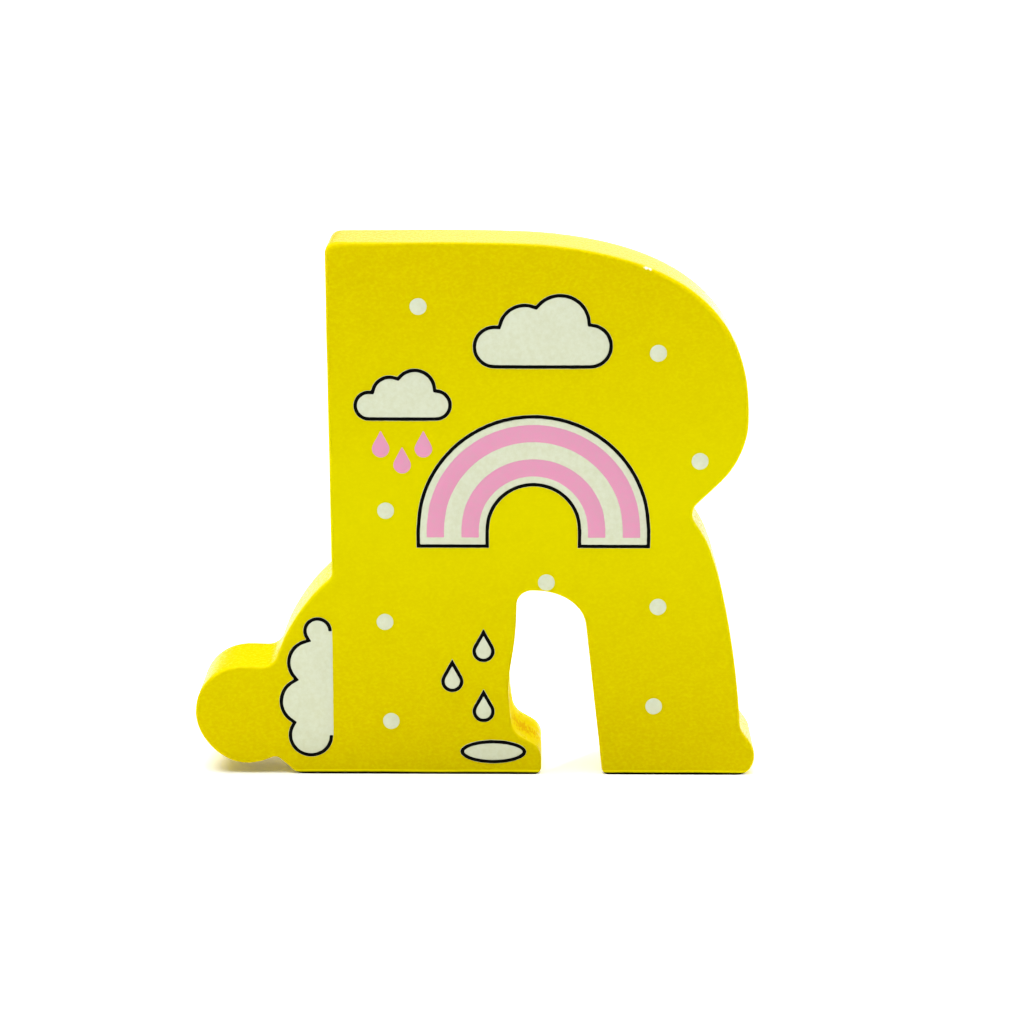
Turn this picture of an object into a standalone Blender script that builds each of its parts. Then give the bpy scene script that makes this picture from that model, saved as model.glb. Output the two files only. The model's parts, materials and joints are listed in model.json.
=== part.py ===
# A stand-up wooden letter R: one sawn and lacquered board with a printed front.
# Metres, +Z up. The front faces -Y, the base rests on Z = 0, and X = 0 is the middle of the letter's width.
# Every reach below is measured from the left edge of the stem, every height from the base.

import math

import bmesh
import bpy
from mathutils import Vector

# Board
LETTER_HEIGHT = 0.100
BOARD_THICKNESS = 0.017
EDGE_ROUND = 0.0009
RIM_FACETS = 3
STEM_CORNER = 0.0022
STEM_FLARE = 0.00055

# Bowl, hung from the top edge
TOP_RUN = 0.0280
BOWL_REACH = 0.0764
BOWL_DROP = 0.0313
BOWL_FULLNESS = 0.672
KNEE_DROP = 0.0394
KNEE_ROUND = 0.0066
WAIST_REACH = 0.0656
WAIST_DROP = 0.0497
WAIST_ROUND = 0.0022

# Right leg and its toe
CALF_REACH = 0.0735
CALF_FALL = 0.0125
CALF_ROUND_ABOVE = 0.0096
CALF_ROUND_BELOW = 0.0263
ANKLE_REACH = 0.0758
ANKLE_HEIGHT = 0.0087
ANKLE_ROUND = 0.0008
TOE_REACH = 0.0785
TOE_HEIGHT = 0.0051
TOE_ROUND_ABOVE = 0.0013
TOE_ROUND_BELOW = 0.0033
HEEL_REACH = 0.0501
HEEL_ROUND = 0.0012

# Arch between the legs
ARCH_HEIGHT = 0.0353
ARCH_RIGHT = 0.0462
ARCH_LEFT = 0.0341
ARCH_SHOULDER_FALL = 0.0066
ARCH_SHOULDER_RUN = 0.0090
ARCH_CORNER = 0.0029

# Left leg's inner edge and its small foot
SHIN_FALL = 0.0073
SHIN_REACH = 0.0324
SHIN_HEIGHT = 0.0165
SHIN_ROUND = 0.0035
INSTEP_REACH = 0.0334
INSTEP_HEIGHT = 0.0081
INSTEP_ROUND = 0.0018
FOOT_REACH = 0.03878
FOOT_HEIGHT = 0.0050
FOOT_ROUND_ABOVE = 0.0019
FOOT_ROUND_BELOW = 0.0014

# Bulge and round lobe to the left of the stem
BASE_LEFT = 0.0068
BASE_ROUND = 0.0013
NOTCH_LEFT = 0.0107
NOTCH_HEIGHT = 0.0034
NOTCH_ROUND = 0.0009
LOBE_LEFT = 0.0257
LOBE_TOP = 0.0210
LOBE_BOTTOM = 0.0019
LOBE_WIDEST_HEIGHT = 0.0117
LOBE_CROWN_LEFT = 0.0162
LOBE_UNDER_LEFT = 0.0143
LOBE_UNDER_ROUND = 0.0018
LOBE_FULLNESS_ABOVE = 0.573
LOBE_FULLNESS_BELOW = 0.500
VALLEY_LEFT = 0.0110
VALLEY_DIP = 0.00045
VALLEY_ROUND = 0.0023
BULGE_LEFT = 0.0075
BULGE_HEIGHT = 0.0311
BULGE_ROUND = 0.0082
SHOULDER_HEIGHT = 0.0378
SHOULDER_ROUND = 0.0008

# Ink: a film seats on the board, a second film on the first
FILM_THICKNESS = 0.00012
FILM_SEAT = 0.00002
LINE_WIDTH = 0.00065
LINE_MARGIN = 0.00004

# Polka dots, each placed from the edges of the letter that it lies between
DOT_DIAMETER = 0.0031
STEM_TOP_DOT_REACH = 0.0163
STEM_TOP_DOT_DROP = 0.0116
STEM_MIDDLE_DOT_CLEAR = 0.0056
STEM_MIDDLE_DOT_FALL = 0.0086
STEM_LOWER_DOT_REACH = 0.0098
STEM_LOWER_DOT_HEIGHT = 0.0294
STEM_BASE_DOT_REACH = 0.0108
STEM_BASE_DOT_HEIGHT = 0.0103
BOWL_UPPER_DOT_INSET = 0.0166
BOWL_UPPER_DOT_DROP = 0.0201
BOWL_LOWER_DOT_INSET = 0.0088
BOWL_LOWER_DOT_DROP = 0.0401
LEG_UPPER_DOT_INSET = 0.0054
LEG_UPPER_DOT_FALL = 0.0179
LEG_LOWER_DOT_INSET = 0.0162
LEG_LOWER_DOT_HEIGHT = 0.0133
ARCH_DOT_RUN = 0.0055
ARCH_DOT_RISE = 0.0017

# Rainbow in the bowl
RAINBOW_REACH = 0.0372
RAINBOW_DROP = 0.0530
RAINBOW_RADIUS = 0.0215
RAINBOW_DEPTH = 0.0134
RAINBOW_LEG = 0.0035
BAND_WIDTH = 0.0032
BAND_GAP = 0.0020

# Clouds: lobes over a flat base, each as (along, above, radius); the small cloud is the large one shrunk
CLOUD_LOBES = (
    (-0.0085, 0.0040, 0.0040),
    (-0.0030, 0.0070, 0.0050),
    (0.0034, 0.0082, 0.0056),
    (0.0088, 0.0042, 0.0042),
)
LARGE_CLOUD_INSET = 0.0378
LARGE_CLOUD_RISE = 0.0085
SMALL_CLOUD_WIDTH = 0.0180
SMALL_CLOUD_LEFT = 0.0240
SMALL_CLOUD_FALL = 0.0012

# Cloud bank that leans out from behind the stem: lobes as (height, reach out from the stem, radius)
BANK_LOBES = (
    (0.0075, 0.0042, 0.0042),
    (0.0140, 0.0052, 0.0048),
    (0.0215, 0.0039, 0.0046),
    (0.0276, 0.0027, 0.0027),
)

# Raindrops: three pink ones fall from the small cloud, three cream ones down the left leg into a puddle
PINK_DROP_RADIUS = 0.0016
PINK_DROP_TIP = 0.0034
PINK_DROP_STEP = 0.0039
PINK_DROP_FALL = 0.0052
PINK_DROP_LAG = 0.0030
CREAM_DROP_RADIUS = 0.0021
CREAM_DROP_TIP = 0.0044
LEG_DROP_REACH = 0.0280
LEG_DROP_SIDESTEP = 0.0058
LEG_DROP_HEIGHT = 0.0122
LEG_DROP_STEP = 0.0058
PUDDLE_REACH = 0.0298
PUDDLE_HEIGHT = 0.0044
PUDDLE_HALF_WIDTH = 0.0062
PUDDLE_HALF_DEPTH = 0.0023

# Most turn and most length of a facet, and the fullness of a curve that turns a corner like a circle
BOARD_FACET = math.radians(9)
BOARD_FACET_LENGTH = 0.0035
INK_FACET = math.radians(15)
ROUND_FULLNESS = 0.58

# Edges sharper than these stay crisp in shading, and are the ones that the rims round
CRISP_ANGLE = math.radians(35)
RIM_ANGLE = math.radians(60)

COLOURS = {
    "yellow_lacquer": ((0.78, 0.66, 0.004), 0.38),
    "cream_ink": ((0.75, 0.79, 0.60), 0.50),
    "pink_ink": ((0.82, 0.35, 0.49), 0.50),
    "black_ink": ((0.012, 0.018, 0.022), 0.45),
}


def clear_scene():
    for old in list(bpy.data.objects):
        bpy.data.objects.remove(old, do_unlink=True)


def make_materials():
    made = {}
    for name, (colour, roughness) in COLOURS.items():
        material = bpy.data.materials.new(name)
        material.use_nodes = True
        shader = material.node_tree.nodes["Principled BSDF"]
        shader.inputs["Base Color"].default_value = (*colour, 1.0)
        shader.inputs["Roughness"].default_value = roughness
        shader.inputs["Metallic"].default_value = 0.0
        made[name] = material
    return made


def turn_between(before, after):
    return abs(before.angle_signed(after))


def rounded_outline(corners):
    # Each corner is (x, z, length rounded before it, length after it, fullness of the curve).
    spots = [Vector(corner[:2]) for corner in corners]
    count = len(spots)
    runs = [(spots[(i + 1) % count] - spots[i]).length for i in range(count)]
    # Two roundings that share a run are limited to its length.
    share = [min(1.0, runs[i] / (corners[i][3] + corners[(i + 1) % count][2])) for i in range(count)]
    points = []
    for i, (x, z, before, after, fullness) in enumerate(corners):
        into = (spots[i] - spots[i - 1]).normalized()
        away = (spots[(i + 1) % count] - spots[i]).normalized()
        start = spots[i] - into * before * share[i - 1]
        end = spots[i] + away * after * share[i]
        pull_in = start.lerp(spots[i], fullness)
        pull_out = end.lerp(spots[i], fullness)
        by_turn = math.ceil(turn_between(into, away) / BOARD_FACET)
        by_length = math.ceil((end - start).length / BOARD_FACET_LENGTH)
        steps = max(2, by_turn, by_length)
        for step in range(steps + 1):
            t = step / steps
            spot = start * (1 - t) ** 3 + pull_in * 3 * t * (1 - t) ** 2
            spot += pull_out * 3 * t * t * (1 - t) + end * t**3
            if not points or (spot - points[-1]).length > FILM_SEAT:
                points.append(spot)
    return points


def letter_outline():
    def corner(x, z, before, after=None, fullness=ROUND_FULLNESS):
        return (x, z, before, before if after is None else after, fullness)

    top = LETTER_HEIGHT
    waist = top - WAIST_DROP
    lobe_rise = LOBE_TOP - LOBE_WIDEST_HEIGHT
    lobe_fall = LOBE_WIDEST_HEIGHT - LOBE_BOTTOM
    lobe_run = LOBE_LEFT - LOBE_CROWN_LEFT
    upper = [
        corner(-STEM_FLARE, top, STEM_CORNER),
        corner(BOWL_REACH, top, BOWL_REACH - TOP_RUN, BOWL_DROP, BOWL_FULLNESS),
        corner(BOWL_REACH, top - KNEE_DROP, KNEE_ROUND),
        corner(WAIST_REACH, waist, WAIST_ROUND),
    ]
    right_leg = [
        corner(CALF_REACH, waist - CALF_FALL, CALF_ROUND_ABOVE, CALF_ROUND_BELOW),
        corner(ANKLE_REACH, ANKLE_HEIGHT, ANKLE_ROUND),
        corner(TOE_REACH, TOE_HEIGHT, TOE_ROUND_ABOVE),
        corner(TOE_REACH, 0, TOE_ROUND_BELOW),
        corner(HEEL_REACH, 0, HEEL_ROUND),
    ]
    arch = [
        corner(ARCH_RIGHT, ARCH_HEIGHT, ARCH_SHOULDER_FALL, ARCH_SHOULDER_RUN),
        corner(ARCH_LEFT, ARCH_HEIGHT, ARCH_CORNER),
    ]
    left_leg = [
        corner(ARCH_LEFT, ARCH_HEIGHT - SHIN_FALL, SHIN_ROUND),
        corner(SHIN_REACH, SHIN_HEIGHT, SHIN_ROUND),
        corner(INSTEP_REACH, INSTEP_HEIGHT, INSTEP_ROUND),
        corner(FOOT_REACH, FOOT_HEIGHT, FOOT_ROUND_ABOVE),
        corner(FOOT_REACH, 0, FOOT_ROUND_BELOW),
        corner(-BASE_LEFT, 0, BASE_ROUND),
    ]
    lobe = [
        corner(-NOTCH_LEFT, NOTCH_HEIGHT, NOTCH_ROUND),
        corner(-LOBE_UNDER_LEFT, LOBE_BOTTOM, LOBE_UNDER_ROUND),
        corner(-LOBE_LEFT, LOBE_BOTTOM, lobe_run, lobe_fall, LOBE_FULLNESS_BELOW),
        corner(-LOBE_LEFT, LOBE_TOP, lobe_rise, lobe_run, LOBE_FULLNESS_ABOVE),
        corner(-VALLEY_LEFT, LOBE_TOP - VALLEY_DIP, VALLEY_ROUND),
        corner(-BULGE_LEFT, BULGE_HEIGHT, BULGE_ROUND),
        corner(0, SHOULDER_HEIGHT, SHOULDER_ROUND),
    ]
    return rounded_outline(upper + right_leg + arch + left_leg + lobe)


def inset(points, distance):
    # Moves a clockwise outline inwards, with mitred corners.
    moved = []
    for i, spot in enumerate(points):
        into = (spot - points[i - 1]).normalized()
        away = (points[(i + 1) % len(points)] - spot).normalized()
        sides = Vector((into.y, -into.x)) + Vector((away.y, -away.x))
        inward = sides.normalized()
        moved.append(spot + inward * distance / inward.dot(Vector((into.y, -into.x))))
    return moved


def arc(centre, radius, start, end, facet=INK_FACET):
    # Points on a circle from one angle to another, both ends included.
    steps = max(2, math.ceil(abs(end - start) / facet))
    angles = [start + (end - start) * step / steps for step in range(steps + 1)]
    return [centre + Vector((math.cos(a), math.sin(a))) * radius for a in angles]


def disc_outline(radius):
    return arc(Vector((0, 0)), radius, math.pi, -math.pi)[:-1]


def oval_outline(half_width, half_depth):
    flattening = half_depth / half_width
    return [Vector((p.x, p.y * flattening)) for p in disc_outline(half_width)]


def drop_outline(radius, tip):
    # A round drop with straight flanks that meet in a point above it.
    flank = math.acos(radius / tip)
    round_side = arc(Vector((0, 0)), radius, math.pi / 2 - flank, -3 * math.pi / 2 + flank)
    return [Vector((0, tip))] + round_side


def arch_outline(outer, inner, leg):
    # A half ring on two straight legs.
    over = arc(Vector((0, 0)), outer, math.pi, 0)
    under = arc(Vector((0, 0)), inner, 0, math.pi)
    right_foot = [Vector((outer, -leg)), Vector((inner, -leg))]
    left_foot = [Vector((-inner, -leg)), Vector((-outer, -leg))]
    return over + right_foot + under + left_foot


def crossing(first, second):
    # The upper point where two neighbouring lobes cross.
    (u, v, r), (s, t, q) = first, second
    between = Vector((s - u, t - v))
    gap = between.length
    along = (gap * gap + r * r - q * q) / (2 * gap)
    rise = math.sqrt(r * r - along * along)
    across = Vector((-between.y, between.x)).normalized()
    return Vector((u, v)) + between.normalized() * along + across * rise


def lobed_outline(lobes):
    # Round lobes side by side over a flat base; the first and the last touch the base.
    meets = [crossing(a, b) for a, b in zip(lobes, lobes[1:])]
    ends = [Vector((lobes[0][0], 0))] + meets + [Vector((lobes[-1][0], 0))]
    points = []
    for (u, v, radius), start, end in zip(lobes, ends, ends[1:]):
        centre = Vector((u, v))
        first = math.atan2(*(start - centre).yx)
        last = math.atan2(*(end - centre).yx)
        while last > first:
            last -= 2 * math.pi
        points += arc(centre, radius, first, last)[0 if not points else 1 :]
    return points


def cloud_width(lobes):
    return (lobes[-1][0] + lobes[-1][2]) - (lobes[0][0] - lobes[0][2])


def cloud_outline(width):
    size = width / cloud_width(CLOUD_LOBES)
    return lobed_outline([[length * size for length in lobe] for lobe in CLOUD_LOBES])


def bank_outline():
    # The bank's base is the stem's left edge, so its lobes point to the left.
    return [Vector((-p.y, p.x)) for p in lobed_outline(BANK_LOBES)]


def plate_mesh(name, outline, depth):
    # A flat plate in XZ, from Y = 0 back to Y = depth.
    form = bmesh.new()
    front = form.faces.new([form.verts.new((p.x, 0, p.y)) for p in outline])
    return finish_plate(name, form, [front], depth)


def strip_mesh(name, outer, inner, depth, closed=True):
    # A line of ink between two outlines with as many points each.
    form = bmesh.new()
    rims = [[form.verts.new((p.x, 0, p.y)) for p in side] for side in (outer, inner)]
    last = len(outer) if closed else len(outer) - 1
    faces = []
    for i in range(last):
        k = (i + 1) % len(outer)
        faces.append(form.faces.new((rims[0][i], rims[0][k], rims[1][k], rims[1][i])))
    return finish_plate(name, form, faces, depth)


def finish_plate(name, form, faces, depth):
    made = bmesh.ops.extrude_face_region(form, geom=faces, use_keep_orig=True)
    moved = [item for item in made["geom"] if isinstance(item, bmesh.types.BMVert)]
    bmesh.ops.translate(form, verts=moved, vec=(0, depth, 0))
    bmesh.ops.recalc_face_normals(form, faces=form.faces)
    mesh = bpy.data.meshes.new(name)
    form.to_mesh(mesh)
    form.free()
    mesh.shade_smooth()
    mesh.set_sharp_from_angle(angle=CRISP_ANGLE)
    return mesh


def make_letter(outline):
    # An empty at the foot of the stem's left edge, on the board's front face: every piece is placed from it.
    # It stands so that the whole letter, ink included, is centred on X = 0 and Y = 0.
    ends = [p.x for p in outline]
    ink_stack = 2 * (FILM_SEAT + FILM_THICKNESS)
    letter = bpy.data.objects.new("letter", None)
    letter.location = (-(min(ends) + max(ends)) / 2, (ink_stack - BOARD_THICKNESS) / 2, 0)
    bpy.context.scene.collection.objects.link(letter)
    return letter


def place(letter, name, mesh, material, reach=0, height=0, layer=0):
    # Layer 0 is the board, 1 a film on the board, 2 a film on that film.
    if material.name not in mesh.materials:
        mesh.materials.append(material)
    piece = bpy.data.objects.new(name, mesh)
    piece.parent = letter
    piece.location = (reach, -layer * (FILM_SEAT + FILM_THICKNESS), height)
    bpy.context.scene.collection.objects.link(piece)
    return piece


def patch(letter, name, outline, ink, reach, height, layer=1):
    mesh = plate_mesh(name, outline, FILM_THICKNESS)
    place(letter, name, mesh, ink, reach, height, layer)


def line(letter, name, outline, ink, reach, height, points=None):
    # A line just inside an outline: all round it, or along its first points only.
    outer = inset(outline, LINE_MARGIN)[:points]
    inner = inset(outline, LINE_MARGIN + LINE_WIDTH)[:points]
    mesh = strip_mesh(name, outer, inner, FILM_THICKNESS, closed=points is None)
    place(letter, name, mesh, ink, reach, height, layer=2)


def outlined_patch(letter, name, outline, inks, reach, height):
    # A cream ground with a black line just inside its edge.
    patch(letter, name + "_ground", outline, inks["cream_ink"], reach, height)
    line(letter, name + "_line", outline, inks["black_ink"], reach, height)


def make_block(letter, outline, ink):
    mesh = plate_mesh("letter_block", outline, BOARD_THICKNESS)
    block = place(letter, "letter_block", mesh, ink)
    rims = block.modifiers.new("rounded rims", "BEVEL")
    rims.limit_method = "ANGLE"
    rims.angle_limit = RIM_ANGLE
    rims.width = EDGE_ROUND
    rims.segments = RIM_FACETS
    rims.use_clamp_overlap = False


def small_cloud_base():
    return LETTER_HEIGHT - RAINBOW_DROP + RAINBOW_RADIUS - SMALL_CLOUD_FALL


def rain_height(lag):
    return small_cloud_base() - PINK_DROP_FALL - lag


def make_dots(letter, ink):
    top = LETTER_HEIGHT
    waist = top - WAIST_DROP
    rainbow_left = RAINBOW_REACH - RAINBOW_RADIUS
    rain_foot = rain_height(PINK_DROP_LAG)
    spots = {
        "dot_stem_top": (STEM_TOP_DOT_REACH, top - STEM_TOP_DOT_DROP),
        "dot_stem_middle": (rainbow_left - STEM_MIDDLE_DOT_CLEAR, rain_foot - STEM_MIDDLE_DOT_FALL),
        "dot_stem_lower": (STEM_LOWER_DOT_REACH, STEM_LOWER_DOT_HEIGHT),
        "dot_stem_base": (STEM_BASE_DOT_REACH, STEM_BASE_DOT_HEIGHT),
        "dot_bowl_upper": (BOWL_REACH - BOWL_UPPER_DOT_INSET, top - BOWL_UPPER_DOT_DROP),
        "dot_bowl_lower": (BOWL_REACH - BOWL_LOWER_DOT_INSET, top - BOWL_LOWER_DOT_DROP),
        "dot_leg_upper": (WAIST_REACH - LEG_UPPER_DOT_INSET, waist - LEG_UPPER_DOT_FALL),
        "dot_leg_lower": (ANKLE_REACH - LEG_LOWER_DOT_INSET, LEG_LOWER_DOT_HEIGHT),
        "dot_arch": (ARCH_LEFT + ARCH_DOT_RUN, ARCH_HEIGHT + ARCH_DOT_RISE),
    }
    mesh = plate_mesh("dot", disc_outline(DOT_DIAMETER / 2), FILM_THICKNESS)
    for name, (reach, height) in spots.items():
        place(letter, name, mesh, ink, reach, height, layer=1)


def make_rainbow(letter, inks):
    height = LETTER_HEIGHT - RAINBOW_DROP
    whole = arch_outline(RAINBOW_RADIUS, RAINBOW_RADIUS - RAINBOW_DEPTH, RAINBOW_LEG)
    outlined_patch(letter, "rainbow", whole, inks, RAINBOW_REACH, height)
    middle = RAINBOW_RADIUS - RAINBOW_DEPTH / 2
    for name, side in (("rainbow_outer_band", 1), ("rainbow_inner_band", -1)):
        centre = middle + side * BAND_WIDTH
        band = arch_outline(centre + BAND_WIDTH / 2, centre - BAND_WIDTH / 2, RAINBOW_LEG - BAND_GAP)
        patch(letter, name, band, inks["pink_ink"], RAINBOW_REACH, height, layer=2)


def make_clouds(letter, inks):
    crown = LETTER_HEIGHT - RAINBOW_DROP + RAINBOW_RADIUS
    large = cloud_outline(cloud_width(CLOUD_LOBES))
    small = cloud_outline(SMALL_CLOUD_WIDTH)
    large_reach = BOWL_REACH - LARGE_CLOUD_INSET
    outlined_patch(letter, "large_cloud", large, inks, large_reach, crown + LARGE_CLOUD_RISE)
    outlined_patch(letter, "small_cloud", small, inks, RAINBOW_REACH - SMALL_CLOUD_LEFT, small_cloud_base())
    # The bank's straight side runs down the stem's edge and carries no line.
    bank = bank_outline()
    patch(letter, "cloud_bank_ground", bank, inks["cream_ink"], 0, 0)
    line(letter, "cloud_bank_line", bank, inks["black_ink"], 0, 0, points=len(bank))


def make_rain(letter, inks):
    pink_drop = plate_mesh("pink_drop", drop_outline(PINK_DROP_RADIUS, PINK_DROP_TIP), FILM_THICKNESS)
    pink_drops = {
        "pink_drop_left": (-PINK_DROP_STEP, 0),
        "pink_drop_middle": (0, PINK_DROP_LAG),
        "pink_drop_right": (PINK_DROP_STEP, 0),
    }
    for name, (along, lag) in pink_drops.items():
        reach = RAINBOW_REACH - SMALL_CLOUD_LEFT + along
        place(letter, name, pink_drop, inks["pink_ink"], reach, rain_height(lag), layer=1)
    cream_drop = drop_outline(CREAM_DROP_RADIUS, CREAM_DROP_TIP)
    cream_drops = {
        "leg_drop_lower": (0, 0),
        "leg_drop_middle": (LEG_DROP_SIDESTEP, LEG_DROP_STEP),
        "leg_drop_upper": (0, 2 * LEG_DROP_STEP),
    }
    for name, (left, up) in cream_drops.items():
        outlined_patch(letter, name, cream_drop, inks, LEG_DROP_REACH - left, LEG_DROP_HEIGHT + up)
    puddle = oval_outline(PUDDLE_HALF_WIDTH, PUDDLE_HALF_DEPTH)
    outlined_patch(letter, "puddle", puddle, inks, PUDDLE_REACH, PUDDLE_HEIGHT)


def main():
    clear_scene()
    inks = make_materials()
    outline = letter_outline()
    letter = make_letter(outline)
    make_block(letter, outline, inks["yellow_lacquer"])
    make_dots(letter, inks["cream_ink"])
    make_rainbow(letter, inks)
    make_clouds(letter, inks)
    make_rain(letter, inks)


main()
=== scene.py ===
import json
import math

import bmesh
import bpy
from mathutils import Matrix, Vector, kdtree, noise

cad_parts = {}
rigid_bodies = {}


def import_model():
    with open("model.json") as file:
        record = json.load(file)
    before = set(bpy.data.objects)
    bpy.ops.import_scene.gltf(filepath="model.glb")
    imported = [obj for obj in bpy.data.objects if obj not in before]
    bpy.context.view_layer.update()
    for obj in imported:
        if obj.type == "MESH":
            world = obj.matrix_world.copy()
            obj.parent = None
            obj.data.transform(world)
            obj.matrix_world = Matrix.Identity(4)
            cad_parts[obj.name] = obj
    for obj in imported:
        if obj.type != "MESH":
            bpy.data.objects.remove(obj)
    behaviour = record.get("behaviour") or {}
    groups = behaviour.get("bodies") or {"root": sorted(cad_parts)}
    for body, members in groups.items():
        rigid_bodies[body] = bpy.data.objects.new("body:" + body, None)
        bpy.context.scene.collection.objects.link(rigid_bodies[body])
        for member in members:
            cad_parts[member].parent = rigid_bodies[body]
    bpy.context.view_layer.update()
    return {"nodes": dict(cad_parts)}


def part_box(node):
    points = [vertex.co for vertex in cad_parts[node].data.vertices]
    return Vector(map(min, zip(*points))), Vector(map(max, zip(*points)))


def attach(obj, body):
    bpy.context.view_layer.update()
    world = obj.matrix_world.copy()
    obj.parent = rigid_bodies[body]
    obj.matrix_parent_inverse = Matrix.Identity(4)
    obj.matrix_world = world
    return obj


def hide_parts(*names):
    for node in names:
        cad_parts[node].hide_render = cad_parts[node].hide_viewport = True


# A stand-up wooden letter: one sawn board under satin yellow lacquer, with a screen-printed front.
# Metres, the front faces -Y and the base stands on Z = 0, as in the frame.

for leftover in list(bpy.data.objects):  # the startup scene's own objects
    bpy.data.objects.remove(leftover, do_unlink=True)
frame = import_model()
mm = 0.001
print("frame loaded:", len(frame["nodes"]), "nodes")


# Small tools

def linearColour(hexCode):
    # sRGB to linear, opaque
    channels = [int(hexCode[i:i + 2], 16) / 255 for i in (1, 3, 5)]
    return [c / 12.92 if c <= 0.04045 else ((c + 0.055) / 1.055) ** 2.4 for c in channels] + [1.0]


def addNode(tree, kind, settings=None, links=None):
    # a setting goes to the socket of that name or number, or else to the node's own option
    # a Mix node's numbers are its inputs 2 and 3, its colours 6 and 7
    node = tree.nodes.new(kind)
    for key, value in (settings or {}).items():
        if isinstance(key, int) or key in node.inputs:
            node.inputs[key].default_value = value
        else:
            setattr(node, key, value)
    for key, source in (links or {}).items():
        tree.links.new(source, node.inputs[key])
    return node


def newMaterial(name):
    material = bpy.data.materials.new(name)
    material.use_nodes = True
    return material, material.node_tree, material.node_tree.nodes["Principled BSDF"]


def addPiece(name, form, material):
    mesh = bpy.data.meshes.new(name)
    form.to_mesh(mesh)
    form.free()
    mesh.materials.append(material)
    piece = bpy.data.objects.new(name, mesh)
    bpy.context.scene.collection.objects.link(piece)
    return piece


# Outlines, read from the frame's own solids

outlineMaking = {
    "levelSlack": 0.002 * mm,        # how far past a level a corner may lie and still count as on it
    "decimals": 3,                   # of a millimetre, to tell which corners are the same one
    "cornerTurn": math.radians(30),  # a bend sharper than this stays a corner
    "curveSteps": 3,                 # steps of the curve to one spacing, before they are evened out
    "fewestPoints": 12,
}


def ringsOf(node, level):
    # closed rings of (x, z) round whatever part of the node lies in front of Y = level, solid to the left
    mesh = node.data
    mesh.calc_loop_triangles()
    edges = set()
    for triangle in mesh.loop_triangles:
        corners = [mesh.vertices[i].co for i in triangle.vertices]
        if max(c.y for c in corners) > level + outlineMaking["levelSlack"]:
            continue
        keys = [tuple(round(value / mm, outlineMaking["decimals"]) for value in c) for c in corners]
        edges.update((keys[i], keys[(i + 1) % 3]) for i in range(3))
    following = {a: b for a, b in edges if (b, a) not in edges}
    rings = []
    while following:
        ring = [min(following)]
        while ring[-1] in following:
            ring.append(following.pop(ring[-1]))
        rings.append([Vector((x * mm, z * mm)) for x, y, z in ring[:-1]])
    return rings


def smoothRing(points, spacing):
    # a cubic curve through the points, kept sharp at real corners, with points at an even spacing
    made = outlineMaking
    count = len(points)
    chords = [points[(i + 1) % count] - points[i] for i in range(count)]
    lengths = [chord.length for chord in chords]
    leaving, arriving = [], []
    for i in range(count):
        before, after = chords[i - 1], chords[i]
        if abs(before.angle_signed(after)) > made["cornerTurn"]:
            arriving.append(before)
            leaving.append(after)
            continue
        heading = before.normalized() * lengths[i] + after.normalized() * lengths[i - 1]
        heading = heading.normalized() * min(lengths[i - 1], lengths[i])
        arriving.append(heading)
        leaving.append(heading)
    dense = []
    for i in range(count):
        k = (i + 1) % count
        steps = max(made["curveSteps"], math.ceil(made["curveSteps"] * lengths[i] / spacing))
        for step in range(steps):
            t = step / steps
            spot = points[i] * (1 - t) ** 2 * (1 + 2 * t) + points[k] * t * t * (3 - 2 * t)
            dense.append(spot + leaving[i] * t * (1 - t) ** 2 - arriving[k] * t * t * (1 - t))
    runs = [(dense[(i + 1) % len(dense)] - dense[i]).length for i in range(len(dense))]
    wanted = max(made["fewestPoints"], round(sum(runs) / spacing))
    pitch = sum(runs) / wanted
    even, travelled, i = [], 0.0, 0
    for n in range(wanted):
        while travelled + runs[i] < n * pitch and i < len(runs) - 1:
            travelled += runs[i]
            i += 1
        share = (n * pitch - travelled) / runs[i] if runs[i] else 0
        even.append(dense[i].lerp(dense[(i + 1) % len(dense)], min(1.0, share)))
    return even


def inwardOf(ring):
    # unit vectors from each point into the solid, which lies to the left
    sides = []
    for i in range(len(ring)):
        along = (ring[(i + 1) % len(ring)] - ring[i - 1]).normalized()
        sides.append(Vector((-along.y, along.x)))
    return sides


def waver(spot, size, seed):
    # slow random change along an edge, from -1 to 1, that repeats nowhere
    return noise.noise(Vector((spot.x / size, seed, spot.y / size)))


# Satin lacquer, sprayed in two coats over a primed and sanded board.
# Even, saturated yellow, with painted shade a little deeper towards the top and the base, and a painted
# highlight over a painted contact shadow along the base; with the soft mottle that felted board leaves
# under a coat, drawn out a little across the letter. The sawn edges keep sanding streaks along their run.
# Sharp light is spread wide: satin.

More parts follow.
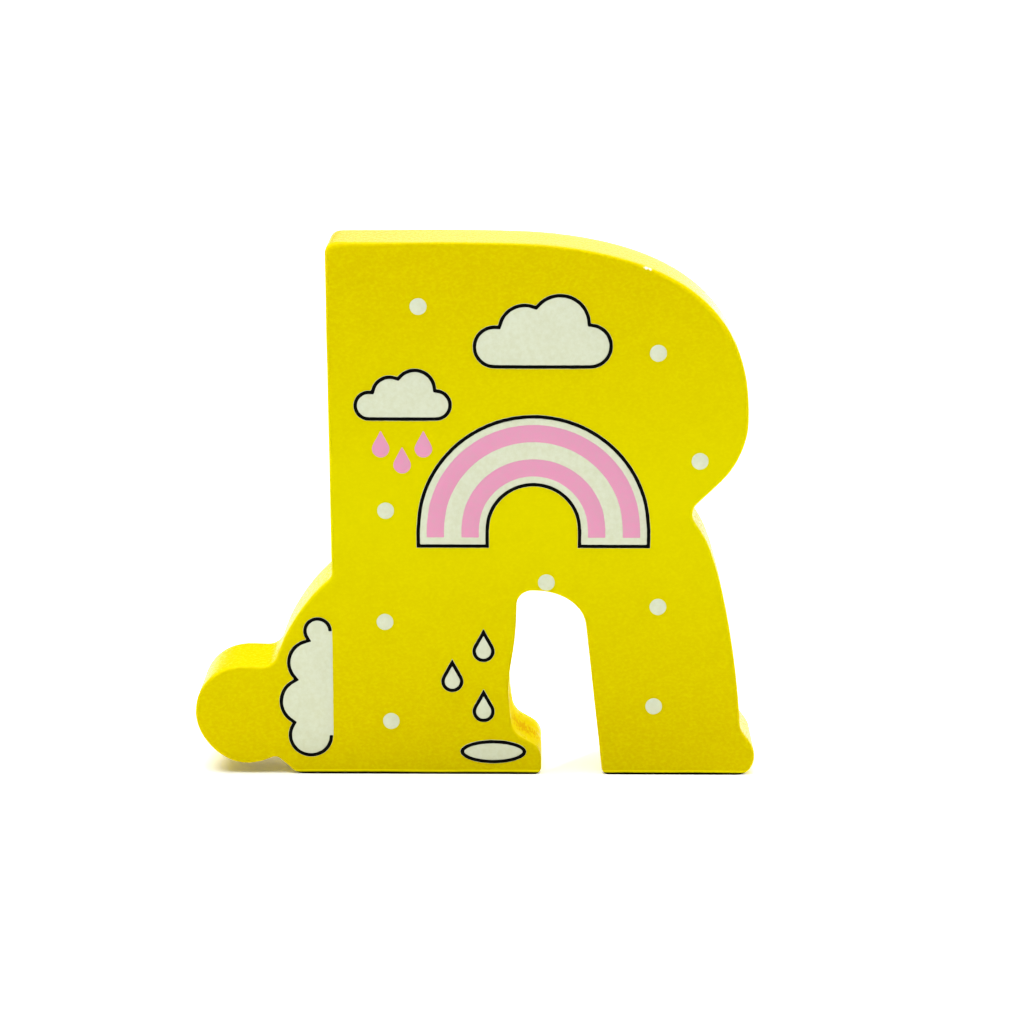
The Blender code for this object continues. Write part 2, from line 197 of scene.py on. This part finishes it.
lacquerLook = {
    "colour": "#D8CE00",
    # painted shade: the yellow is darkened towards the top and the base, where less light reaches the face
    "paintedShade": "#D2BD00",
    "middle": 52 * mm,                # height where no shade is painted
    "paintedShading": (10 * mm, 50 * mm),  # how far from there the painted shade begins, and is deepest
    "paintedShadingStray": 14 * mm,        # how far slow clouds move that
    "pale": "#DDD300",
    "paleFrom": (0.40, 0.75),         # strength of the mottle where it begins to show pale, and is palest
    "paleCover": 0.65,                # the most that a pale fleck covers
    "grains": {                       # size along X, Y and Z, and detail
        "cloud": ((14 * mm, 14 * mm, 14 * mm), 3.0),
        "mottle": ((0.72 * mm, 0.5 * mm, 0.5 * mm), 2.0),
        "peel": ((1.3 * mm, 1.3 * mm, 1.3 * mm), 1.0),
        "streak": ((9 * mm, 0.55 * mm, 9 * mm), 3.0),  # coarser than a grit's, so that it shows
    },
    "grainRoughness": 0.6,
    "grainTurn": (0.5, 0.3, 0.7),     # turned and shifted, so that no face lies along the noise's lattice
    "grainShift": (0.3, 0.4, 0.2),
    "roughness": (0.22, 0.30),
    "roughnessFrom": (0.3, 0.7),      # strength of the mottle at those two
    "dulled": 0.9,                    # roughness where a mark has taken the gloss
    "ior": 1.50,
    "specular": 0.03,
    "specularTint": "#FFE800",        # pigment lies in the skin, so what it mirrors head on is yellow too
    "relief": 0.025 * mm,
    "reliefShares": {"mottle": 0.6, "streak": 0.4},  # beside the orange peel's
    # painted highlight: the pale line where the rim of the base catches the light
    "paintedBaseHighlight": "#EADC00",
    "paintedHighlightHeight": 1.0 * mm,         # height of the painted highlight along the base, over a painted contact shadow where it stands
    # painted contact shadow: the dark line where the base stands on the paper
    "paintedContactShadow": "#080501",
    "paintedShadowHeight": 0.58 * mm,
    "baseStray": 0.24 * mm,
    "baseSoftness": 0.08 * mm,
    "markDetail": 3.0,
    "markRoughness": 0.7,
    "markEdge": (1.1, 0.5),           # radii at which a mark begins, and is full
}
marks = [
    # primer shows where the rim was knocked
    {"place": (31.05 * mm, -8.2 * mm, 95.72 * mm), "radius": 0.5 * mm, "colour": "#FBFAF0",
     "grain": (0.5 * mm, 0.5 * mm, 0.5 * mm), "patchy": 2},
    {"place": (31.85 * mm, -8.2 * mm, 95.40 * mm), "radius": 0.42 * mm, "colour": "#FBFAF0",
     "grain": (0.5 * mm, 0.5 * mm, 0.5 * mm), "patchy": 2},
    # the inner side of the foot was touched up by a brush pulled across the board, and glue stained it
    {"place": (8.6 * mm, -1.0 * mm, 9.5 * mm), "radius": 9 * mm, "colour": "#D5C400",
     "grain": (2.5 * mm, 2.5 * mm, 2.5 * mm), "patchy": 2},
    {"place": (9.0 * mm, -1.0 * mm, 7.4 * mm), "radius": 3.0 * mm, "colour": "#CCA200",
     "grain": (0.32 * mm, 1.8 * mm, 0.32 * mm), "patchy": 6},
]


def lacquerGrains(tree, place):
    look = lacquerLook
    grains = {}
    for name, (sizes, detail) in look["grains"].items():
        sized = addNode(tree, "ShaderNodeMapping",
                        {"Scale": [1 / s for s in sizes],
                         "Rotation": look["grainTurn"], "Location": look["grainShift"]},
                        {"Vector": place})
        grains[name] = addNode(tree, "ShaderNodeTexNoise",
                               {"Scale": 1.0, "Detail": detail, "Roughness": look["grainRoughness"]},
                               {"Vector": sized.outputs[0]}).outputs["Fac"]
    return grains


def lacquerTonesAndPaintedLight(tree, place, grains):
    # the colours over the first coat, from the lowest up, each with where it covers: painted shade, pale
    # flecks, and along the base a painted highlight and a painted contact shadow
    look = lacquerLook
    height = addNode(tree, "ShaderNodeSeparateXYZ", {}, {0: place}).outputs["Z"]
    # painted shade: deeper the farther a point lies above or below the middle height
    away = addNode(tree, "ShaderNodeMath", {"operation": "SUBTRACT", 1: look["middle"]}, {0: height})
    away = addNode(tree, "ShaderNodeMath", {"operation": "ABSOLUTE"}, {0: away.outputs[0]})
    away = addNode(tree, "ShaderNodeMath", {"operation": "MULTIPLY_ADD", 1: look["paintedShadingStray"]},
                   {0: grains["cloud"], 2: away.outputs[0]})
    paintedShading = addNode(tree, "ShaderNodeMapRange",
                        {"From Min": look["paintedShading"][0], "From Max": look["paintedShading"][1]},
                        {"Value": away.outputs[0]})
    fleck = addNode(tree, "ShaderNodeMapRange",
                    {"From Min": look["paleFrom"][0], "From Max": look["paleFrom"][1],
                     "To Max": look["paleCover"]},
                    {"Value": grains["mottle"]})
    tonesAndPaintedLight = [("paintedShade", paintedShading), ("pale", fleck)]
    # a painted highlight and, under it, a painted contact shadow along the base, which stray with a slow
    # noise
    stray = addNode(tree, "ShaderNodeMath", {"operation": "MULTIPLY_ADD", 1: look["baseStray"]},
                    {0: grains["cloud"], 2: height}).outputs[0]
    soft = look["baseSoftness"]
    for name, top in (("paintedBaseHighlight", look["paintedHighlightHeight"]), ("paintedContactShadow", look["paintedShadowHeight"])):
        line = addNode(tree, "ShaderNodeMapRange", {"From Min": top + soft, "From Max": top - soft},
                       {"Value": stray})
        tonesAndPaintedLight.append((name, line))
    return [(look[name], cover.outputs[0]) for name, cover in tonesAndPaintedLight]


def markCover(tree, place, mark):
    # a spot with a ragged edge, and the patchier the more flecks it breaks up into
    look = lacquerLook
    near = addNode(tree, "ShaderNodeVectorMath", {"operation": "DISTANCE", 1: mark["place"]}, {0: place})
    sized = addNode(tree, "ShaderNodeMapping", {"Scale": [1 / s for s in mark["grain"]]},
                    {"Vector": place})
    ragged = addNode(tree, "ShaderNodeTexNoise",
                     {"Scale": 1.0, "Detail": look["markDetail"], "Roughness": look["markRoughness"]},
                     {"Vector": sized.outputs[0]})
    edge = addNode(tree, "ShaderNodeMath",
                   {"operation": "MULTIPLY_ADD", 1: mark["patchy"] * mark["radius"]},
                   {0: ragged.outputs["Fac"], 2: near.outputs["Value"]})
    begins, full = [(mark["patchy"] / 2 + radii) * mark["radius"] for radii in look["markEdge"]]
    cover = addNode(tree, "ShaderNodeMapRange", {"From Min": begins, "From Max": full},
                    {"Value": edge.outputs[0]})
    return cover.outputs[0]


def makeLacquer():
    look = lacquerLook
    material, tree, shader = newMaterial("satin_lacquer_sprayed_on_board")
    place = addNode(tree, "ShaderNodeTexCoord").outputs["Object"]
    grains = lacquerGrains(tree, place)
    markCovers = [markCover(tree, place, mark) for mark in marks]
    layers = lacquerTonesAndPaintedLight(tree, place, grains)
    layers += [(mark["colour"], cover) for mark, cover in zip(marks, markCovers)]
    colour = shader.inputs["Base Color"]
    for hexCode, cover in layers[::-1]:
        # the last layer lies on top, and each mix feeds the one above it
        mixed = addNode(tree, "ShaderNodeMix", {"data_type": "RGBA", 7: linearColour(hexCode)}, {0: cover})
        tree.links.new(mixed.outputs[2], colour)
        colour = mixed.inputs[6]
    colour.default_value = linearColour(look["colour"])
    roughness = shader.inputs["Roughness"]
    for cover in markCovers:
        # a mark takes the gloss away
        dulled = addNode(tree, "ShaderNodeMix", {"data_type": "FLOAT", 3: look["dulled"]}, {0: cover})
        tree.links.new(dulled.outputs[0], roughness)
        roughness = dulled.inputs[2]
    sheen = addNode(tree, "ShaderNodeMapRange",
                    {"From Min": look["roughnessFrom"][0], "From Max": look["roughnessFrom"][1],
                     "To Min": look["roughness"][0], "To Max": look["roughness"][1]},
                    {"Value": grains["mottle"]})
    tree.links.new(sheen.outputs[0], roughness)
    skin = grains["peel"]
    for name, share in look["reliefShares"].items():
        skin = addNode(tree, "ShaderNodeMath", {"operation": "MULTIPLY_ADD", 1: share},
                       {0: grains[name], 2: skin}).outputs[0]
    bump = addNode(tree, "ShaderNodeBump", {"Strength": 1.0, "Distance": look["relief"]}, {"Height": skin})
    tree.links.new(bump.outputs[0], shader.inputs["Normal"])
    shader.inputs["IOR"].default_value = look["ior"]
    shader.inputs["Specular IOR Level"].default_value = look["specular"]
    shader.inputs["Specular Tint"].default_value = linearColour(look["specularTint"])
    return material


# Screen-print ink, pulled through a mesh and dried matt.
# Flat opaque colour with a little of the board's fibre in it, paler where the mesh left less ink.

inkLooks = {
    "cream": {"colour": "#D8DEC6", "thin": "#D2D7BA", "fleck": 0.9 * mm, "roughness": 0.58},
    "pink": {"colour": "#E196B8", "thin": "#DB9BB6", "fleck": 0.9 * mm, "roughness": 0.58},
    "black": {"colour": "#020202", "thin": "#060706", "fleck": 0.6 * mm, "roughness": 0.60},
}
inkSkin = {                     # the same for all three
    "fleckDetail": 4.0,
    "fleckRoughness": 0.65,
    "fleckFrom": (0.35, 0.65),  # strength of the flecks where the ink is thin, and where it is full
    "relief": 0.012 * mm,
    "ior": 1.48,
    "specular": 0.02,
}


def makeInk(name):
    look = inkLooks[name]
    skin = inkSkin
    material, tree, shader = newMaterial("screen_printed_" + name + "_ink")
    place = addNode(tree, "ShaderNodeTexCoord").outputs["Object"]
    fleck = addNode(tree, "ShaderNodeTexNoise",
                    {"Scale": 1 / look["fleck"],
                     "Detail": skin["fleckDetail"], "Roughness": skin["fleckRoughness"]},
                    {"Vector": place}).outputs["Fac"]
    cover = addNode(tree, "ShaderNodeMapRange",
                    {"From Min": skin["fleckFrom"][0], "From Max": skin["fleckFrom"][1]},
                    {"Value": fleck})
    tone = addNode(tree, "ShaderNodeMix",
                   {"data_type": "RGBA", 6: linearColour(look["thin"]), 7: linearColour(look["colour"])},
                   {0: cover.outputs[0]})
    tree.links.new(tone.outputs[2], shader.inputs["Base Color"])
    bump = addNode(tree, "ShaderNodeBump", {"Strength": 1.0, "Distance": skin["relief"]},
                   {"Height": fleck})
    tree.links.new(bump.outputs[0], shader.inputs["Normal"])
    shader.inputs["Roughness"].default_value = look["roughness"]
    shader.inputs["IOR"].default_value = skin["ior"]
    shader.inputs["Specular IOR Level"].default_value = skin["specular"]
    return material


# The board

letterBoard = {
    "spacing": 0.5 * mm,
    "rimFacets": 7,
    "rimShare": 0.62,          # the lacquer's own rim beside the frame's
    "worn": [                  # where hands rub the rim wider, how far round there, and by what share
        ((-26.9 * mm, 100 * mm), 16 * mm, 1.2),
        ((41 * mm, 89 * mm), 15 * mm, 1.1),
    ],
    "support": 0.2 * mm,       # flat ring inside the rim, which keeps the face's shading flat
    "rimWaver": 0.16,          # share by which hand sanding changes the rim's rounding
    "rimWaverRun": 7 * mm,
    "cornerWear": 0.30,        # share by which handling rounds the outward corners more
    "cornerReach": 3 * mm,
    "cornerTurn": math.radians(90),  # a bend that is worn in full
    "baseRim": 0.15,           # share of the rounding that the base has, which is sanded less
    "baseReach": 1.6 * mm,     # height over which the rims of the base and of the sides blend
    "edgeWaver": 0.05 * mm,    # how far the sawn edge strays
    "edgeWaverRun": 11 * mm,
    "sideRows": 7,
    "sideWaver": 0.4,          # share of that by which each row of the sides strays on its own
    "sideWaverRun": 5 * mm,
    "seeds": {"edge": 3.1, "front": 5.7, "back": 9.3},
}


def makeBoard(lacquer):
    made = letterBoard
    seeds = made["seeds"]
    node = frame["nodes"]["letter_block"]
    levels = sorted({round(v.co.y / mm, outlineMaking["decimals"]) * mm for v in node.data.vertices})
    front, back = levels[0], levels[-1]
    sideStart = levels[len(levels) // 2 - 1]
    rim = sideStart - front
    outline = smoothRing(ringsOf(node, sideStart)[0], made["spacing"])
    inward = inwardOf(outline)
    standing = [min(1.0, p.y / made["baseReach"]) for p in outline]
    stray = [made["edgeWaver"] * s * waver(p, made["edgeWaverRun"], seeds["edge"])
             for p, s in zip(outline, standing)]
    outline = [p + n * far for p, n, far in zip(outline, inward, stray)]
    inward = inwardOf(outline)
    # how sharply the outline turns outwards round each point, from 0 to 1
    reach = round(made["cornerReach"] / made["spacing"] / 2)
    turns = [inward[i - reach].angle_signed(inward[(i + reach) % len(inward)])
             for i in range(len(inward))]
    wear = [min(1.0, max(0.0, -turn / made["cornerTurn"])) for turn in turns]
    shares = [made["rimShare"] * (made["baseRim"] + (1 - made["baseRim"]) * s)
              * (1 + made["cornerWear"] * w) for s, w in zip(standing, wear)]
    for place, far, share in made["worn"]:
        rubs = [max(0.0, 1 - (p - Vector(place)).length / far) for p in outline]
        shares = [s * (1 + share * rub) for s, rub in zip(shares, rubs)]
    form = bmesh.new()
    rings = []

    def addRing(insets, depths):
        spots = [p + n * inset for p, n, inset in zip(outline, inward, insets)]
        rings.append([form.verts.new((s.x, y, s.y)) for s, y in zip(spots, depths)])

    def roundsOf(seed):
        return [rim * share * (1 + made["rimWaver"] * waver(p, made["rimWaverRun"], seed))
                for p, share in zip(outline, shares)]

    def addRim(face, towards, rounds, order):
        turns = [math.pi / 2 * k / made["rimFacets"] for k in range(made["rimFacets"] + 1)]
        profile = [(1 - math.sin(t), 1 - math.cos(t)) for t in turns]
        flat = ([r + made["support"] for r in rounds], [face] * len(rounds))
        curve = [([r * a for r in rounds], [face + towards * r * b for r in rounds]) for a, b in profile]
        for insets, depths in ([flat] + curve)[::order]:
            addRing(insets, depths)

    frontRounds = roundsOf(seeds["front"])
    addRim(front, 1, frontRounds, 1)
    for row in range(1, made["sideRows"]):
        y = sideStart + (back - rim - sideStart) * row / made["sideRows"]
        addRing([made["sideWaver"] * made["edgeWaver"] * s * waver(p, made["sideWaverRun"], row)
                 for p, s in zip(outline, standing)], [y] * len(outline))
    addRim(back, -1, roundsOf(seeds["back"]), -1)
    count = len(outline)
    for first, second in zip(rings, rings[1:]):
        for i in range(count):
            form.faces.new((first[i], second[i], second[(i + 1) % count], first[(i + 1) % count]))
    form.faces.new(rings[0])
    form.faces.new(rings[-1][::-1])
    bmesh.ops.recalc_face_normals(form, faces=form.faces)
    for face in form.faces:
        face.smooth = True
    board = addPiece("letter_board", form, lacquer)
    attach(board, "root")
    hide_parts("letter_block")
    print("board:", count, "points round,", len(board.data.polygons), "faces")

    nearest = kdtree.KDTree(count)
    for i, p in enumerate(outline):
        nearest.insert((p.x, p.y, 0), i)
    nearest.balance()

    def rimFall(x, z):
        # how far the rounded rim falls back behind the face at a point of the front
        i = nearest.find((x, z, 0))[1]
        short = frontRounds[i] - (Vector((x, z)) - outline[i]).dot(inward[i])
        if short <= 0:
            return 0.0
        return frontRounds[i] - math.sqrt(max(0.0, frontRounds[i] ** 2 - short ** 2))

    return front, rimFall


# The printed films

inkFilm = {
    "spacing": 0.14 * mm,
    "ragged": 0.03 * mm,       # how far an edge of ink strays where it bled into the fibre
    "raggedRun": 0.8 * mm,
    "raggedSeed": 2.3,
    "seat": 0.02 * mm,         # how deep each film starts in what it lies on
    "height": 0.045 * mm,      # what each film adds
    "edge": 0.05 * mm,         # width of its rounded edge
    "edgeBend": (0.25, 0.35),  # where that bends: shares of its width and, from the top, its height
    "rimRow": 0.08 * mm,       # rows that a film is cut into where it bends over the board's rim
    "rimRows": 16,
    "cutSlack": 1e-8,          # a corner that is this near a row's line counts as on it
}


def makeFilm(name, ink, layer, front, rimFall):
    made = inkFilm
    node = frame["nodes"][name]
    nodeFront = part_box(name)[0].y
    base = front - (layer - 1) * made["height"] + made["seat"]
    top = front - layer * made["height"]
    across, down = made["edgeBend"]
    profile = [(0.0, base), (across * made["edge"], top + down * made["height"]), (made["edge"], top)]
    form = bmesh.new()
    crests = []
    for ring in ringsOf(node, nodeFront):
        ring = smoothRing(ring, made["spacing"])
        ring = [(ring[i - 1] + ring[i] * 2 + ring[(i + 1) % len(ring)]) / 4 for i in range(len(ring))]
        inward = inwardOf(ring)
        ring = [p + n * made["ragged"] * waver(p, made["raggedRun"], made["raggedSeed"])
                for p, n in zip(ring, inward)]
        rows = []
        for inset, y in profile:
            rows.append([form.verts.new((p.x + n.x * inset, y, p.y + n.y * inset))
                         for p, n in zip(ring, inward)])
        for first, second in zip(rows, rows[1:]):
            for i in range(len(ring)):
                k = (i + 1) % len(ring)
                form.faces.new((first[i], first[k], second[k], second[i]))
        crests += [form.edges.get((rows[-1][i], rows[-1][(i + 1) % len(ring)])) for i in range(len(ring))]
    bmesh.ops.triangle_fill(form, edges=crests, use_beauty=True, use_dissolve=False)
    if max(rimFall(v.co.x, v.co.z) for v in form.verts) > 0:
        # a film that reaches the rim is cut into narrow rows, so that it bends over with the board
        low = min(v.co.z for v in form.verts)
        for row in range(1, made["rimRows"]):
            bmesh.ops.bisect_plane(form, geom=form.verts[:] + form.edges[:] + form.faces[:],
                                   dist=made["cutSlack"],
                                   plane_co=(0, 0, low + row * made["rimRow"]), plane_no=(0, 0, 1))
        for vert in form.verts:
            vert.co.y += rimFall(vert.co.x, vert.co.z)
        print("bent over the rim:", name)
    bmesh.ops.recalc_face_normals(form, faces=form.faces)
    for face in form.faces:
        face.smooth = True
    film = addPiece(name + "_ink", form, ink)
    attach(film, "root")
    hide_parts(name)


# Seamless paper under the letter, pressed from white pulp.
# Matt white with a trace of tooth, and a painted glow of its own, strongest just behind the letter, which
# lifts the shade there.

paperFloor = {
    "colour": "#FBFBFA",
    "size": 16.0,
    "tooth": 0.8 * mm,            # coarser than real paper's, which is too fine to show
    "toothDetail": 2.0,
    "toothRelief": 0.01 * mm,
    "roughness": 0.9,
    "specular": 0.1,
    "glow": "#FFFCF2",            # a faintly warm painted glow that the paper gives off itself
    "glowStrength": (0.08, 0.8),  # in front of the letter, and behind it
    "glowRun": (-0.012, 0.022),   # Y where it begins to rise, and where it is full
    "glowEnd": (0.10, 0.04),      # Y where it has faded again, and where that begins
    "glowLeft": 0.3,              # share of it that is left farther back
    "glowSlant": 0.2,             # more of it to the right
}


def makePaper():
    look = paperFloor
    material, tree, shader = newMaterial("matt_seamless_paper")
    place = addNode(tree, "ShaderNodeTexCoord").outputs["Object"]
    tooth = addNode(tree, "ShaderNodeTexNoise",
                    {"Scale": 1 / look["tooth"], "Detail": look["toothDetail"]}, {"Vector": place})
    bump = addNode(tree, "ShaderNodeBump", {"Distance": look["toothRelief"]},
                   {"Height": tooth.outputs["Fac"]})
    tree.links.new(bump.outputs[0], shader.inputs["Normal"])
    shader.inputs["Base Color"].default_value = linearColour(look["colour"])
    shader.inputs["Roughness"].default_value = look["roughness"]
    shader.inputs["Specular IOR Level"].default_value = look["specular"]
    spot = addNode(tree, "ShaderNodeSeparateXYZ", {}, {0: place}).outputs
    # the painted glow: faint in front, full just behind the letter, fading again farther back
    behind = addNode(tree, "ShaderNodeMath", {"operation": "MULTIPLY_ADD", 1: look["glowSlant"]},
                     {0: spot["X"], 2: spot["Y"]}).outputs[0]
    rising = addNode(tree, "ShaderNodeMapRange",
                     {"From Min": look["glowRun"][0], "From Max": look["glowRun"][1],
                      "To Min": look["glowStrength"][0], "To Max": look["glowStrength"][1]},
                     {"Value": behind})
    fading = addNode(tree, "ShaderNodeMapRange",
                     {"From Min": look["glowEnd"][0], "From Max": look["glowEnd"][1],
                      "To Min": look["glowLeft"]},
                     {"Value": behind})
    glow = addNode(tree, "ShaderNodeMath", {"operation": "MULTIPLY"},
                   {0: rising.outputs[0], 1: fading.outputs[0]})
    tree.links.new(glow.outputs[0], shader.inputs["Emission Strength"])
    shader.inputs["Emission Color"].default_value = linearColour(look["glow"])
    form = bmesh.new()
    bmesh.ops.create_grid(form, x_segments=1, y_segments=1, size=look["size"] / 2)
    floor = addPiece("paper_floor", form, material)
    print("paper floor:", look["size"], "m wide")


# The room, its lamps and the camera

whiteRoom = {
    "surround": 0.05,
    "flats": 1.9,                # white flats straight to the left and the right
    "flatsReach": (0.84, 0.97),  # share of X in the direction where they begin, and where they are full
}


def makeRoom():
    made = whiteRoom
    world = bpy.data.worlds.new("white_studio")
    world.use_nodes = True
    room = world.node_tree
    heading = addNode(room, "ShaderNodeTexCoord").outputs["Generated"]
    sideways = addNode(room, "ShaderNodeSeparateXYZ", {}, {0: heading}).outputs["X"]
    sideways = addNode(room, "ShaderNodeMath", {"operation": "ABSOLUTE"}, {0: sideways}).outputs[0]
    white = addNode(room, "ShaderNodeMapRange",
                    {"interpolation_type": "SMOOTHSTEP",
                     "From Min": made["flatsReach"][0], "From Max": made["flatsReach"][1],
                     "To Min": made["surround"], "To Max": made["flats"]},
                    {"Value": sideways})
    room.nodes["Background"].inputs["Color"].default_value = (1, 1, 1, 1)
    room.links.new(white.outputs[0], room.nodes["Background"].inputs["Strength"])
    bpy.context.scene.world = world


lamps = {
    # a wide soft light overhead
    "overhead_softbox": {
        "kind": "SUN",
        "settings": {"energy": 5.1, "angle": math.radians(55)},
        "place": (0, 0, 1.0),
        "turn": (0, math.radians(-8), 0),
        "unseen": [],
    },
    # a soft light from the right and a little behind, which draws a line along the rims on that side
    "side_softbox": {
        "kind": "SUN",
        "settings": {"energy": 1.15, "angle": math.radians(20)},
        "place": (0.6, 0.1, 0.1),
        "turn": (0, math.radians(87), math.radians(8)),
        "unseen": [],
    },
    # a strip behind, seen only as the sheen along the top edge
    "back_strip": {
        "kind": "AREA",
        "settings": {"energy": 0.055, "shape": "RECTANGLE", "size": 0.26, "size_y": 0.05},
        "place": (0.010, 0.130, 0.125),
        "turn": (math.radians(-90), math.radians(20), 0),
        "unseen": ["visible_camera", "visible_diffuse"],
    },
    # a small one lower down, for the sheen where the outline falls away to the right
    "right_strip": {
        "kind": "AREA",
        "settings": {"energy": 0.016, "shape": "RECTANGLE", "size": 0.05, "size_y": 0.06},
        "place": (0.072, 0.130, 0.088),
        "turn": (math.radians(-90), 0, 0),
        "unseen": ["visible_camera", "visible_diffuse"],
    },
    # a narrow snoot from behind, through the arch, on the inner side of the foot
    "foot_snoot": {
        "kind": "SPOT",
        "settings": {"energy": 1.2, "spot_size": math.radians(13), "spot_blend": 0.7,
                     "shadow_soft_size": 0.012},
        "place": (0.095, 0.122, 0.067),
        "turn": (math.radians(-68.7), 0, math.radians(-34.8)),
        "unseen": ["visible_camera", "visible_glossy"],
    },
}


def hangLamps():
    for name, given in lamps.items():
        light = bpy.data.lights.new(name, given["kind"])
        for setting, value in given["settings"].items():
            setattr(light, setting, value)
        lamp = bpy.data.objects.new(name, light)
        lamp.location = given["place"]
        lamp.rotation_euler = given["turn"]
        for ray in given["unseen"]:
            setattr(lamp, ray, False)
        bpy.context.scene.collection.objects.link(lamp)


studioCamera = {
    "place": (0.01321, -0.57996, 0.1843),
    "turn": (math.radians(76.809), 0, math.radians(0.6345)),
    "lens": 112.62,  # lens and sensor in millimetres, as a camera's data has them
    "sensor": 36.0,
}


def setCamera():
    made = studioCamera
    optics = bpy.data.cameras.new("camera")
    optics.lens = made["lens"]
    optics.sensor_width = made["sensor"]
    camera = bpy.data.objects.new("camera", optics)
    camera.location = made["place"]
    camera.rotation_euler = made["turn"]
    bpy.context.scene.collection.objects.link(camera)
    bpy.context.scene.camera = camera
    bpy.context.scene.view_settings.view_transform = "Standard"  # plain sRGB, without a film's curve


# The letter, then the studio round it

lacquer = makeLacquer()
inks = {name: makeInk(name) for name in inkLooks}
print("materials: lacquer and", len(inks), "inks")
front, rimFall = makeBoard(lacquer)
for name in frame["nodes"]:
    if name == "letter_block":
        continue
    if name.endswith("_line"):
        makeFilm(name, inks["black"], 2, front, rimFall)
    elif name.endswith("_band"):
        makeFilm(name, inks["pink"], 2, front, rimFall)
    elif name.startswith("pink"):
        makeFilm(name, inks["pink"], 1, front, rimFall)
    else:
        makeFilm(name, inks["cream"], 1, front, rimFall)
print("prints:", len(frame["nodes"]) - 1, "films of ink")
makePaper()
makeRoom()
hangLamps()
setCamera()
print("studio: white room,", len(lamps), "lamps and the camera in place")
